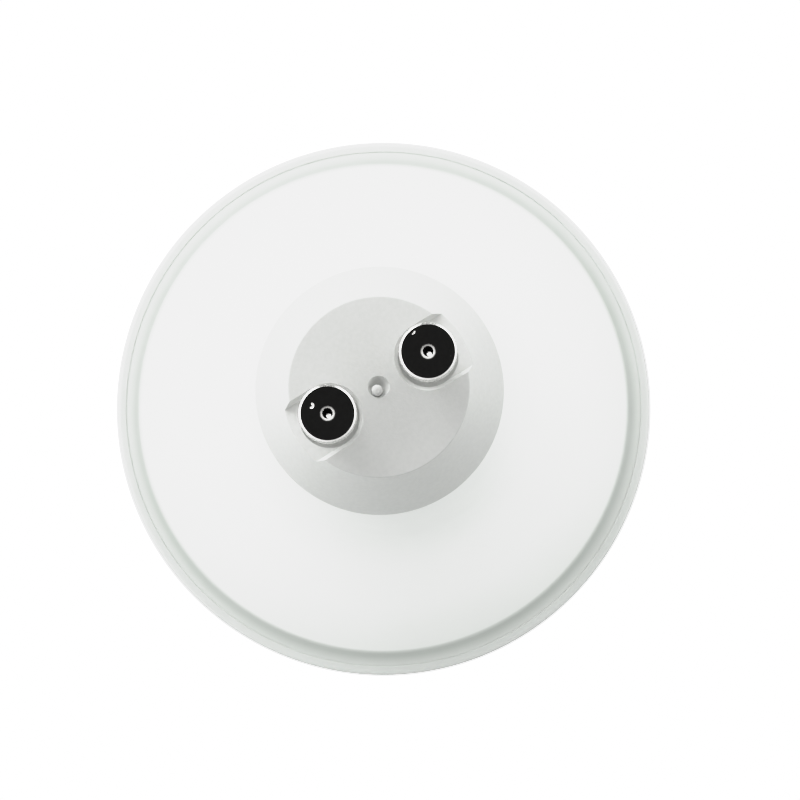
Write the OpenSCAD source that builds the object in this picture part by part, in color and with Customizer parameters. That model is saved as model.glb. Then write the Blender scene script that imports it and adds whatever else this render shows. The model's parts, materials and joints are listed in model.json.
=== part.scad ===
// Reflector lamp with a two-pin twist-lock base and a built-in radio module.
// The lamp stands on its front ring: Z runs from the ring (0) to the pin ends,
// and the two pins stand side by side along X.

/* [Lamp] */
// Overall length, front ring to pin ends
lamp_l = 54; // [53:0.5:56]
// Diameter of the front ring, the widest part
ring_d = 50; // [50:0.1:51]
// Height of the front ring
ring_h = 10.5; // [10.5:0.1:10.9]

/* [Pins] */
// Distance between the pin centres
pin_gap = 10; // [9.8:0.1:10.2]
// How far the pins stand out of the end face
pin_out = 7; // [6.6:0.1:7.2]
// Diameter of a pin's head
head_d = 5; // [4.8:0.1:5.1]
// Height of a pin's head
head_h = 2.4; // [2:0.1:2.8]
// Chamfer around the end of a pin
head_chamfer = 0.2; // [0.1:0.05:0.4]
// Diameter of a pin's neck, which the lampholder grips
neck_pin_d = 3; // [2.8:0.1:3.2]
// Diameter of the centre hole in a pin's end, and of the bore that takes the lead's core
pin_bore_d = 0.92; // [0.8:0.02:1]
// Depth of the centre hole in a pin's end
pin_hole_depth = 1.1; // [0.8:0.1:1.2]
// How far up from the end wall the bore for the lead's core reaches
core_reach = 4.6; // [3:0.1:5]

/* [Base cap] */
// Diameter of the flat end face
face_d = 15.6; // [15:0.1:16]
// Diameter of the base cap and the neck at the foot of the bevel
bevel_d = 21.8; // [21.4:0.1:22.2]
// Height of the bevel
bevel_h = 6; // [5:0.5:7]
// Radius of the pocket around each pin, at its mouth
pocket_r = 2.95; // [2.85:0.05:3.2]
// Radius of the pocket at its floor
pocket_floor_r = 2.6; // [2.4:0.05:2.8]
// Depth of the pockets
pocket_depth = 1.1; // [0.8:0.1:1.4]
// Depth of the round well in each pocket's floor, around the pin's neck
well_depth = 1.2; // [0.8:0.1:1.4]
// Diameter of the moulding gate's dimple on the end face
gate_d = 1.9; // [1.6:0.1:2.2]
// Length of the spigot that holds the cap in the housing's neck
spigot_l = 5; // [3.5:0.5:5]

/* [Housing] */
// Diameter at the shoulder, where the bowl meets the flat ledge
shoulder_d = 46.2; // [46:0.1:46.4]
// Height of the shoulder above the front plane
shoulder_z = 10.6; // [10.4:0.1:10.6]
// Radius of the bowl's crown
bowl_r = 25; // [24:0.5:26]
// Radius of the flare between neck and bowl
flare_r = 6.4; // [6:0.1:6.6]
// Thickness of the housing
wall = 1.6; // [1.4:0.1:1.7]

/* [Light engine] */
// Diameter of the circuit board that carries the LEDs
led_board_d = 33.2; // [32:0.2:33.4]
// Number of white LEDs on the outer circle
white_count = 10; // [6:4:10]
// Radius of the circle of white LEDs
white_r = 11.6; // [11:0.1:12]
// Number of colour LEDs on the inner circle
colour_count = 4; // [2:1:4]
// Radius of the circle of colour LEDs
colour_r = 5.4; // [5:0.1:5.6]

/* [Driver] */
// Width of the driver board
driver_w = 16; // [15.6:0.1:16.1]
// Diameter of the mains-side capacitor
bulk_d = 6.3; // [5:0.1:6.4]
// Diameter of the output capacitor
output_d = 5; // [4:0.1:5.2]

/* [Hidden] */
$fn = 96;
eps = 0.05;
ring_r = ring_d / 2;
face_z = lamp_l - pin_out;
face_r = face_d / 2;
floor_z = face_z - pocket_depth;
end_wall = 3.6;
end_z = face_z - end_wall;
bore_top = end_z + core_reach;
bevel_z = face_z - bevel_h;
bevel_r = bevel_d / 2;
neck_wall = 1.6;
neck_in_r = bevel_r - neck_wall;
spigot_r = neck_in_r - 0.03;
spigot_in_r = 8.15;
spigot_z = bevel_z - spigot_l;
gate_r = gate_d / 2;
gate_lift = 0.25;
gate_offset = [-0.28, -0.18];
rail_x = 8;
rail_y = 1.1;
rail_w = 1.4;
rail_t = 0.9;
shoulder_r = shoulder_d / 2;

// Slopes are measured as the tilt of the surface's normal away from +Z.
crown_tilt_in = 30;
crown_tilt_out = 52;
ledge_tilt = 10;
neck_tilt = 85.5;
ledge_round = 0.5;

// Centres of the arcs that make the bowl, worked out from the shoulder inwards
ledge_cr = shoulder_r + ledge_round * sin(ledge_tilt);
ledge_cz = shoulder_z + ledge_round * cos(ledge_tilt);
crown_cr = ledge_cr - (ledge_round + bowl_r) * sin(crown_tilt_out);
crown_cz = ledge_cz - (ledge_round + bowl_r) * cos(crown_tilt_out);
flare_cr = crown_cr + (bowl_r + flare_r) * sin(crown_tilt_in);
flare_cz = crown_cz + (bowl_r + flare_r) * cos(crown_tilt_in);

// The housing's rim: a ledge with a flange in the ring's rebate, and a skirt inside the ring
flange_r = 24.1;
flange_z = shoulder_z - (flange_r - shoulder_r) * tan(ledge_tilt);
flange_h = 0.75;
skirt_r = 23.3;
skirt_in_r = 21.5;
skirt_z = 3.2;
ring_fit = 0.05;

lip_r = 21.2;
lens_r = 22.3;
lens_z = 1.3;
lens_t = 1.8;
reflector_z = lens_z + lens_t + 0.9;
sink_z = reflector_z + 1;
sink_top = 13.4;
plate_t = 1.2;
plate_r = 17.6;
pad_t = 0.2;
board_t = 1.1;
led_board_top = sink_top - plate_t - pad_t;
led_face = led_board_top - board_t;
screw_y = 13.3;
screw_r = 1;
screw_top = 15.4;
boss_r = 2.4;

driver_z = 16.6;
driver_top = end_z - 4.2;
driver_t = 1;
face_a = driver_t / 2;

radio_y = -7.4;
radio_t = 0.8;
radio_w = 10;
radio_z = 7.2;
radio_top = 23;

// Points of an arc, from tilt a to tilt b; a negative radius makes a hollow arc
function arc(cr, cz, r, a, b, n = 12) =
    [for (i = [0 : n]) let (t = a + (b - a) * i / n) [cr + r * sin(t), cz + r * cos(t)]];

// Outside of flare and bowl, from the neck out to the shoulder, moved in by d
function shell_curve(d) = concat(
    arc(flare_cr, flare_cz, -(flare_r + d), neck_tilt, crown_tilt_in, 14),
    arc(crown_cr, crown_cz, bowl_r - d, crown_tilt_in, crown_tilt_out, 12)
);

module shell_outline() {
    polygon(concat(
        [[0, bevel_z], [bevel_r, bevel_z]],
        shell_curve(0),
        arc(ledge_cr, ledge_cz, -ledge_round, crown_tilt_out, ledge_tilt, 4),
        [
            [flange_r, flange_z], [flange_r, flange_z - flange_h],
            [skirt_r, flange_z - flange_h], [skirt_r, skirt_z], [0, skirt_z]
        ]
    ));
}

module cavity_outline() {
    polygon(concat(
        [
            [0, bevel_z + 1], [neck_in_r, bevel_z + 1], [neck_in_r, spigot_z - 0.4],
            [neck_in_r + 0.5, spigot_z - 0.9]
        ],
        shell_curve(wall),
        [[skirt_in_r, 9.6], [skirt_in_r, skirt_z - 1], [0, skirt_z - 1]]
    ));
}

// Bowl-shaped shell with an open neck, and bosses inside for the heat sink's screws
module housing() {
    color("white")
    difference() {
        union() {
            difference() {
                rotate_extrude() shell_outline();
                rotate_extrude() cavity_outline();
            }
            intersection() {
                for (up = [-1, 1])
                    translate([0, up * screw_y, sink_top]) cylinder(r = boss_r, h = 8);
                rotate_extrude() shell_outline();
            }
        }
        for (up = [-1, 1])
            translate([0, up * screw_y, sink_top - 1]) cylinder(r = screw_r + eps, h = 3.2);
    }
}

// Open-sided pocket around one pin: its walls lean out to the mouth, and a round well sinks from its floor
module pocket(side) {
    h = pocket_depth + 1;
    top_r = pocket_floor_r + (pocket_r - pocket_floor_r) * h / pocket_depth;
    translate([side * pin_gap / 2, 0, floor_z]) {
        translate([0, 0, -well_depth]) cylinder(r = pocket_floor_r, h = well_depth + eps);
        cylinder(r1 = pocket_floor_r, r2 = top_r, h = h);
        rotate([90, 0, 90 * side]) linear_extrude(10) polygon([
            [-pocket_floor_r, 0], [pocket_floor_r, 0], [top_r, h], [-top_r, h]
        ]);
    }
}

// Pair of guide rails inside the spigot that hold one edge of the driver board
module rails(side) {
    for (up = [-1, 1])
        translate([side * rail_x, up * rail_y, (spigot_z + end_z) / 2])
            cube([rail_w, rail_t, end_z - spigot_z + 1], center = true);
}

// Cap that carries the pins: bevelled end, end wall, and a spigot down into the neck
module base_cap() {
    color("gainsboro") {
        difference() {
            union() {
                rotate_extrude() polygon([
                    [0, face_z], [face_r, face_z], [bevel_r, bevel_z], [spigot_r, bevel_z],
                    [spigot_r, spigot_z], [spigot_in_r, spigot_z], [spigot_in_r, bevel_z - 1],
                    [face_r - 0.4, end_z], [0, end_z]
                ]);
                rails(-1);
                rails(1);
            }
            pocket(-1);
            pocket(1);
            for (side = [-1, 1])
                translate([side * pin_gap / 2, 0, end_z - 1]) cylinder(d = neck_pin_d, h = 5);
            translate([0, 0, face_z + gate_lift]) sphere(r = norm([gate_r, gate_lift]));
        }
        translate([gate_offset.x, gate_offset.y, face_z - gate_r])
            cylinder(r1 = 0.55, r2 = gate_r / 2, h = gate_r + 0.2);
    }
}

module front_ring() {
    front_round = 1.2;
    lip_round = 0.35;
    color("white") rotate_extrude() polygon(concat(
        arc(lip_r + lip_round, lip_round, -lip_round, 90, 0, 4),
        arc(ring_r - front_round, front_round, front_round, 180, 90, 8),
        arc(ring_r - 0.5, ring_h - 0.5, 0.5, 90, 0, 6),
        [
            [flange_r + ring_fit, ring_h], [flange_r + ring_fit, flange_z - flange_h],
            [skirt_r + ring_fit, flange_z - flange_h],
            [skirt_r + ring_fit, skirt_z], [lens_r + ring_fit, skirt_z],
            [lens_r + ring_fit, lens_z], [lip_r, lens_z]
        ]
    ));
}

module diffuser() {
    color("ghostwhite") {
        translate([0, 0, lens_z]) cylinder(r = lens_r, h = lens_t);
        translate([0, 0, lens_z + lens_t]) difference() {
            cylinder(r = 21.2, h = 0.9);
            translate([0, 0, -eps]) cylinder(r = 20.2, h = 1);
        }
    }
}

module reflector() {
    t = 0.8;
    color("whitesmoke") rotate_extrude() polygon([
        [19, reflector_z], [21.3, reflector_z], [21.3, sink_z], [19.6, sink_z],
        [16.2 + t, led_face - 0.6], [16.2 + t, led_face - 0.1],
        [15.4, led_face - 0.1], [15.4, led_face - 0.6]
    ]);
}

module heat_sink() {
    t = 1.2;
    color("silver") difference() {
        rotate_extrude() polygon([
            [skirt_in_r - 0.1, sink_z], [skirt_in_r - 0.1, 9.3], [plate_r, sink_top],
            [0, sink_top], [0, sink_top - plate_t], [plate_r - 0.6, sink_top - plate_t],
            [skirt_in_r - 0.1 - t, 8.9], [skirt_in_r - 0.1 - t, sink_z]
        ]);
        plate_openings(sink_top - 3, 4);
    }
}

// Screw holes and slots shared by the heat sink's plate, the pad and the LED board
module plate_openings(z, h) {
    for (up = [-1, 1]) translate([0, up * screw_y, z]) cylinder(r = screw_r + 0.1, h = h);
    translate([-5.2, -0.6, z]) cube([10.4, 2.9, h]);
    translate([-radio_w / 2 - 0.4, radio_y - 0.3, z]) cube([radio_w + 0.8, radio_t + 0.6, h]);
}

module thermal_pad() {
    color("lightsteelblue") difference() {
        translate([0, 0, led_board_top]) cylinder(r = led_board_d / 2 - 0.3, h = pad_t);
        plate_openings(led_board_top - 1, 3);
    }
}

module led_board() {
    color("snow") difference() {
        translate([0, 0, led_face]) cylinder(d = led_board_d, h = board_t);
        for (up = [-1, 1])
            translate([0, up * screw_y, led_face - 1]) cylinder(r = screw_r + 0.1, h = 3);
        for (x = [-3.81 : 2.54 : 3.82])
            translate([x, 0.85, led_face - 1]) cylinder(r = 0.42, h = 3);
        translate([-radio_w / 2 - 0.4, radio_y - 0.3, led_face - 1])
            cube([radio_w + 0.8, radio_t + 0.6, 3]);
    }
}

// Places its children around the axis, the first one a part of a step off +X
module around(count, r, start = 0) {
    for (i = [0 : count - 1]) rotate(360 * (i + start) / count) translate([r, 0, 0]) children();
}

module led_body(w, l) {
    translate([-w / 2, -l / 2, led_face - 0.7]) cube([w, l, 0.7]);
}

module white_leds() {
    color("ivory") around(white_count, white_r) difference() {
        led_body(2.8, 3.5);
        translate([0, 0, led_face - 0.75]) cylinder(r = 1.1, h = 0.3);
    }
}

module colour_leds() {
    color("white") around(colour_count, colour_r, 0.5) difference() {
        led_body(3.4, 3.4);
        translate([0, 0, led_face - 0.75]) cylinder(r = 1.35, h = 0.3);
    }
}

module led_domes() {
    color("gold") {
        around(white_count, white_r)
            translate([0, 0, led_face - 0.7]) cylinder(r = 1.1, h = 0.25);
        around(colour_count, colour_r, 0.5)
            translate([0, 0, led_face - 0.7]) cylinder(r = 1.35, h = 0.25);
    }
}

module board_screws() {
    head = 1.1;
    color("gainsboro") for (up = [-1, 1]) translate([0, up * screw_y, led_face - head])
        difference() {
            union() {
                cylinder(r1 = 1.5, r2 = 1.8, h = head);
                cylinder(r = screw_r, h = screw_top - led_face + head);
            }
            for (turn = [0, 90]) rotate(turn)
                translate([-1, -0.22, -eps]) cube([2, 0.44, 0.6]);
        }
}

// Turned pin: a centre hole in its end, and a blind bore from inside for the lead's core
module contact_pin(side) {
    r = head_d / 2;
    bore_r = pin_bore_d / 2;
    foot_r = 2.2;
    foot_z = end_z - 0.9;
    hole_z = lamp_l - pin_hole_depth;
    color("silver") translate([side * pin_gap / 2, 0, 0]) rotate_extrude() polygon([
        [bore_r, foot_z], [foot_r, foot_z], [foot_r, end_z], [neck_pin_d / 2, end_z],
        [neck_pin_d / 2, lamp_l - head_h], [r - 0.2, lamp_l - head_h],
        [r, lamp_l - head_h + 0.2], [r, lamp_l - head_chamfer], [r - head_chamfer, lamp_l],
        [0.74, lamp_l], [bore_r, lamp_l - 0.12], [bore_r, hole_z], [0, hole_z],
        [0, bore_top], [bore_r, bore_top]
    ]);
}

module contact_pin_left() { contact_pin(-1); }

module contact_pin_right() { contact_pin(1); }

// Bare wire up each pin's bore, with a rounded end
module lead_cores() {
    r = pin_bore_d / 2 - 0.06;
    top = bore_top - r - 0.1;
    color("darkorange") for (side = [-1, 1]) translate([side * pin_gap / 2, 0, 0]) {
        translate([0, 0, lead_top]) cylinder(r = r, h = top - lead_top);
        translate([0, 0, top]) sphere(r = r);
    }
}

// Route of an insulated lead, as [y, z] from the pin down to its pad on the board
lead_r = 0.6;
lead_top = end_z - 1.3;
lead_drop = 4.6;
lead_route = [
    for (i = [0 : 12]) let (s = i / 12) [
        (face_a + lead_r + eps) * (1 - cos(180 * min(1, 1.6 * s))) / 2, lead_top - lead_drop * s
    ]
];

// Tube along a route in a plane x = side * pin_gap / 2
module lead(side) {
    n = 12;
    last = len(lead_route) - 1;
    rings = [for (i = [0 : last]) let (
        p = lead_route[i],
        q = lead_route[min(i + 1, last)] - lead_route[max(i - 1, 0)],
        u = [-q[1], q[0]] / norm(q)
    ) for (k = [0 : n - 1]) let (a = 360 * k / n) [
        side * pin_gap / 2 + lead_r * cos(a),
        p[0] + lead_r * sin(a) * u[0],
        p[1] + lead_r * sin(a) * u[1]
    ]];
    polyhedron(rings, concat(
        [[for (k = [0 : n - 1]) n - 1 - k]],
        [for (i = [0 : last - 1], k = [0 : n - 1])
            [i * n + k, i * n + (k + 1) % n, (i + 1) * n + (k + 1) % n, (i + 1) * n + k]],
        [[for (k = [0 : n - 1]) last * n + k]]
    ));
}

module live_lead() { color("saddlebrown") lead(1); }

module neutral_lead() { color("royalblue") lead(-1); }

module driver_board() {
    color("seagreen") difference() {
        translate([-driver_w / 2, -driver_t / 2, driver_z])
            cube([driver_w, driver_t, driver_top - driver_z]);
        for (side = [-1, 1]) translate([side * pin_gap / 2, 0, driver_top - 2.4])
            rotate([90, 0, 0]) cylinder(r = 0.45, h = 3, center = true);
        translate([0, 0, driver_top]) rotate([90, 0, 0]) cylinder(r = 1.2, h = 3, center = true);
    }
}

module board_header() {
    color("dimgray") translate([-4.9, -0.35, sink_top + 0.1]) cube([9.8, 2.4, 2.5]);
    color("gold") for (x = [-3.81 : 2.54 : 3.82])
        translate([x - 0.25, 0.6, led_face - 0.4]) cube([0.5, 0.5, 7.4]);
}

// Can of an electrolytic capacitor along Z, with its crimp groove and rubber end
module can(d, h) {
    r = d / 2;
    rotate_extrude() polygon([
        [0, 0.3], [r - 0.8, 0.3], [r - 0.5, 0], [r, 0.3], [r, 1], [r - 0.3, 1.3], [r, 1.6],
        [r, h - 0.4], [r - 0.4, h], [0, h]
    ]);
}

module bulk_capacitor() {
    color("midnightblue") translate([-3.7, face_a + bulk_d / 2 + 0.1, 26.6]) can(bulk_d, 9.2);
}

module output_capacitor() {
    color("darkslategray")
        translate([4.8, -face_a - output_d / 2 - 0.1, 17.2]) can(output_d, 8);
}

module film_capacitor() {
    color("goldenrod") translate([1.4, face_a + 0.1, 30]) difference() {
        cube([5, 3.6, 7.2]);
        translate([0.8, 0.8, -eps]) cube([3.4, 2, 0.4]);
    }
}

module varistor() {
    color("steelblue") translate([-3.9, -face_a - 1.7, 34]) rotate([90, 0, 0]) {
        cylinder(r = 3.3, h = 1.6, center = true);
        cylinder(r = 2.7, h = 2.6, center = true);
    }
}

module fusible_resistor() {
    color("lightsteelblue") translate([4.4, -face_a - 1.4, 31]) rotate_extrude() polygon([
        [0, -1], [0.3, -1], [0.3, 0], [1, 0], [1.25, 0.4], [1.25, 1.4], [1.05, 1.8], [1.05, 4.6],
        [1.25, 5], [1.25, 6], [1, 6.4], [0.3, 6.4], [0.3, 7.2], [0, 7.2]
    ]);
}

// Moulded chip on the back of the driver board, with rows of flat legs along Z
module chip(w, h, t, legs, pitch) {
    rotate([90, 0, 0]) {
        translate([-w / 2, -h / 2, 0.1]) cube([w, h, t]);
        for (side = [-1, 1], i = [0 : legs - 1])
            translate([side * (w / 2 + 0.45) - 0.5, (i - (legs - 1) / 2) * pitch - 0.2, 0])
                cube([1, 0.4, 0.5]);
    }
}

module bridge_rectifier() {
    color("dimgray") translate([-3.6, -face_a, 26.6]) chip(4, 4.7, 1.4, 2, 2.5);
}

module driver_chip() {
    color("dimgray") translate([-3.6, -face_a, 20.4]) chip(3.9, 4.9, 1.4, 4, 1.27);
}

core_y = face_a + 0.5;
core_z = 18.4;
core_w = 9;
core_h = 8;
core_t = 6.4;

module transformer_core() {
    color("dimgray") translate([-core_w / 2, core_y, core_z]) difference() {
        cube([core_w, core_t, core_h]);
        for (x = [1.5, core_w / 2 + 1.2])
            translate([x, -1, 1.5]) cube([core_w / 2 - 2.7, core_t + 2, core_h - 3]);
    }
}

module bobbin_ring(x, y, z, out, in) {
    translate([0, core_y + core_t / 2, z]) difference() {
        translate([-x, -y, 0]) cube([2 * x, 2 * y, out]);
        translate([-1.25, -core_t / 2 - 0.05, -1]) cube([2.5, core_t + 0.1, in]);
    }
}

module transformer_bobbin() {
    color("ivory") {
        bobbin_ring(2.9, core_t / 2 + 0.35, core_z + 1.6, 0.5, 9);
        bobbin_ring(2.9, core_t / 2 + 0.35, core_z + core_h - 2.1, 0.5, 9);
        bobbin_ring(1.65, core_t / 2 + 0.3, core_z + 2.05, core_h - 4.1, 9);
    }
}

module transformer_winding() {
    h = core_h - 4.3;
    color("chocolate") translate([0, core_y + core_t / 2, core_z + 2.15]) difference() {
        translate([-2.75, -core_t / 2 - 0.34, 0]) cube([5.5, core_t + 0.68, h]);
        translate([-1.7, -core_t / 2 - 0.31, -1]) cube([3.4, core_t + 0.62, h + 2]);
    }
}

// Small flat parts soldered to both faces of the driver board
module chip_parts() {
    color("tan") {
        for (i = [0 : 3]) translate([5 + 1.6 * (i % 2), face_a, 18 + 2.6 * i]) cube([1, 0.5, 1.6]);
        for (i = [0 : 2]) translate([-7.4, face_a, 18.5 + 2.8 * i]) cube([1.6, 0.5, 0.9]);
        for (i = [0 : 2]) translate([2.6 + 1.7 * i, -face_a - 0.5, 27]) cube([1, 0.5, 1.6]);
    }
}

module radio_board() {
    color("darkgreen") translate([-radio_w / 2, radio_y, radio_z])
        cube([radio_w, radio_t, radio_top - radio_z]);
}

module radio_shield() {
    color("silver") translate([-4, radio_y - 1.7, sink_top + 0.9]) difference() {
        cube([8, 1.7, 7]);
        translate([0.2, 0.2, 0.2]) cube([7.6, 1.6, 6.6]);
    }
}

// Folded strip on the part of the radio board that looks out past the LED board
module antenna() {
    y = radio_y + radio_t;
    color("gold") {
        for (i = [0 : 5]) translate([-4.2 + 1.6 * i, y, radio_z + 0.4]) cube([0.4, 0.12, 2.4]);
        for (i = [0 : 4])
            translate([-4.2 + 1.6 * i, y, radio_z + 0.4 + (i % 2) * 2]) cube([2, 0.12, 0.4]);
    }
}

housing();
base_cap();
front_ring();
diffuser();
reflector();
heat_sink();
thermal_pad();
led_board();
white_leds();
colour_leds();
led_domes();
board_screws();
contact_pin_left();
contact_pin_right();
lead_cores();
live_lead();
neutral_lead();
driver_board();
board_header();
bulk_capacitor();
output_capacitor();
film_capacitor();
varistor();
fusible_resistor();
bridge_rectifier();
driver_chip();
transformer_core();
transformer_bobbin();
transformer_winding();
chip_parts();
radio_board();
radio_shield();
antenna();
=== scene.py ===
import json
import math

import bmesh
import bpy
from mathutils import Matrix, Vector, noise


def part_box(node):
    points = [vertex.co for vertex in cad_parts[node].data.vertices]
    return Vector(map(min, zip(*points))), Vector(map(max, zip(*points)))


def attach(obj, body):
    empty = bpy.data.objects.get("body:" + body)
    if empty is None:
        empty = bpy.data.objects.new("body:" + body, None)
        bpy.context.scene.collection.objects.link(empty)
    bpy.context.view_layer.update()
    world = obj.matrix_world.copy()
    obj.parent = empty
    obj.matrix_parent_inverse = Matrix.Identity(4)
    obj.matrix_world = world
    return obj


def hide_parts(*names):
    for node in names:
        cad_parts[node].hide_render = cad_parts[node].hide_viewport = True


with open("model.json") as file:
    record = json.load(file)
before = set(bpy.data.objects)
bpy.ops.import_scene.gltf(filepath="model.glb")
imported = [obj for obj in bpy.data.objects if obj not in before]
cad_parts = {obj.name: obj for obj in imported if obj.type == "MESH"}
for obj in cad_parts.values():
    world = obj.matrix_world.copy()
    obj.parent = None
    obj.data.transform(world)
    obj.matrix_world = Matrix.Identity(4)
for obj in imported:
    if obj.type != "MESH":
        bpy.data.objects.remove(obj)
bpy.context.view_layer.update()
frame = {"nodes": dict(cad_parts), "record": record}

# ---------------------------------------------------------------------------
# Dimensions in millimetres: the CAD nodes' boxes give the driving ones
# ---------------------------------------------------------------------------
MM = 0.001


def box_mm(node):
    low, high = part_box(node)
    return Vector(low) / MM, Vector(high) / MM


ring_low, ring_high = box_mm("front_ring")
pin_low, pin_high = box_mm("contact_pin_right")
lens_low, lens_high = box_mm("diffuser")
mirror_low, mirror_high = box_mm("reflector")
shell_low, shell_high = box_mm("housing")

RING_R = ring_high.x
RING_H = ring_high.z
PIN_END = pin_high.z
PIN_X = (pin_low.x + pin_high.x) / 2
HEAD_R = (pin_high.x - pin_low.x) / 2
PIN_ROOT = pin_low.z

# Base cap: end face, bevel and the spigot inside the neck
PIN_HEIGHT = 7.0              # pin's end above the end face
END_WALL = 3.6
BEVEL_HEIGHT = 6.0
NECK_WALL = 1.6
SPIGOT_FIT = 0.03
SPIGOT_LENGTH = 5.0
FACE_Z = PIN_END - PIN_HEIGHT
FACE_R = 7.8
END_Z = FACE_Z - END_WALL
BEVEL_R = 10.9
BEVEL_Z = FACE_Z - BEVEL_HEIGHT
NECK_IN_R = BEVEL_R - NECK_WALL
SPIGOT_R = NECK_IN_R - SPIGOT_FIT
SPIGOT_IN_R = 8.15
SPIGOT_Z = BEVEL_Z - SPIGOT_LENGTH
RAIL_X, RAIL_Y = 8.0, 1.1     # middles of the rails that hold the driver board's edges
RAIL_HALF_W, RAIL_HALF_T = 0.7, 0.45

# Pockets in the end face, and the mark of the sprue at its middle
POCKET_R = 2.95
POCKET_FLOOR_R = 2.6
POCKET_DEPTH = 1.1
WELL_DEPTH = 1.2
GATE_R = 0.95
GATE_LIFT = 0.25              # centre of the gate's dimple above the face

# Pins
PIN_NECK_R = 1.5
PIN_BORE_R = 0.46
BORE_TOP = END_Z + 4.6
HEAD_H = 2.4
HEAD_CHAMFER = 0.2
HOLE_DEPTH = 1.1

# Bowl, ledge and the flange and skirt under it; tilts in degrees
SHOULDER_R = 23.1
SHOULDER_Z = 10.6
CROWN_R = 25.0
FLARE_R = 6.4
WALL = 1.6
CROWN_TILT_IN, CROWN_TILT_OUT = 30.0, 52.0
LEDGE_TILT = 10.0
LEDGE_ROUND = 0.5
NECK_TILT = 85.5
FLANGE_R = shell_high.x
FLANGE_Z = SHOULDER_Z - (FLANGE_R - SHOULDER_R) * math.tan(math.radians(LEDGE_TILT))
FLANGE_H = 0.75
SKIRT_R = 23.3
SKIRT_IN_R = 21.5
SKIRT_Z = shell_low.z
SKIRT_TOP = 9.6               # where the inside of the skirt meets the bowl

# Screw bosses inside the bowl
BOSS_R = 2.4
BOSS_Y = 13.3
BOSS_Z = 13.4
SCREW_R = 1.05

# Front: the ring's lip and the lens
LIP_R = 21.2
LENS_R = lens_high.x
LENS_Z = lens_low.z
LENS_T = 1.8

TURN_STEPS = 256


def sind(a):
    return math.sin(math.radians(a))


def cosd(a):
    return math.cos(math.radians(a))


# ---------------------------------------------------------------------------
# Camera, at the photograph's viewing angle
# ---------------------------------------------------------------------------
CAMERA_TILT = 3.05            # degrees between the line of sight and the lamp's axis
CAMERA_SIDE = 246.7           # side the camera leans to, degrees round from +X
PIN_LINE_SLOPE = 31.7         # degrees that the line of pins rises to the right in the picture
TARGET_Z = RING_H - 0.5       # height of the point that the camera's distance is measured from
CAMERA_DISTANCE = 440.5
FRAME_OFFSET = (1.54, 0.81)   # picture's centre from the lamp's axis, to the right and up
FOCAL_LENGTH = 211.1
SENSOR_WIDTH = 36.0


def make_camera():
    toward = Vector((
        sind(CAMERA_TILT) * cosd(CAMERA_SIDE), sind(CAMERA_TILT) * sind(CAMERA_SIDE), cosd(CAMERA_TILT)
    ))
    up = toward.cross(Vector((cosd(PIN_LINE_SLOPE), -sind(PIN_LINE_SLOPE), 0))).normalized()
    right = up.cross(toward)
    target = Vector((0, 0, TARGET_Z)) + FRAME_OFFSET[0] * right + FRAME_OFFSET[1] * up
    data = bpy.data.cameras.new("camera")
    data.lens = FOCAL_LENGTH
    data.sensor_width = SENSOR_WIDTH
    data.clip_start, data.clip_end = 0.01, 20.0
    camera = bpy.data.objects.new("camera", data)
    bpy.context.scene.collection.objects.link(camera)
    turn = Matrix((right, up, toward)).transposed().to_4x4()
    camera.matrix_world = Matrix.Translation((target + CAMERA_DISTANCE * toward) * MM) @ turn
    bpy.context.scene.camera = camera
    return right, up


view_right, view_up = make_camera()
BRIGHT_SIDE = 111             # side of the picture that most light comes from, in degrees from its right


def flat_direction(angle):
    """Level direction at an angle round the picture, in degrees from its right."""
    flat = cosd(angle) * view_right + sind(angle) * view_up
    flat.z = 0
    return flat.normalized()


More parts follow.
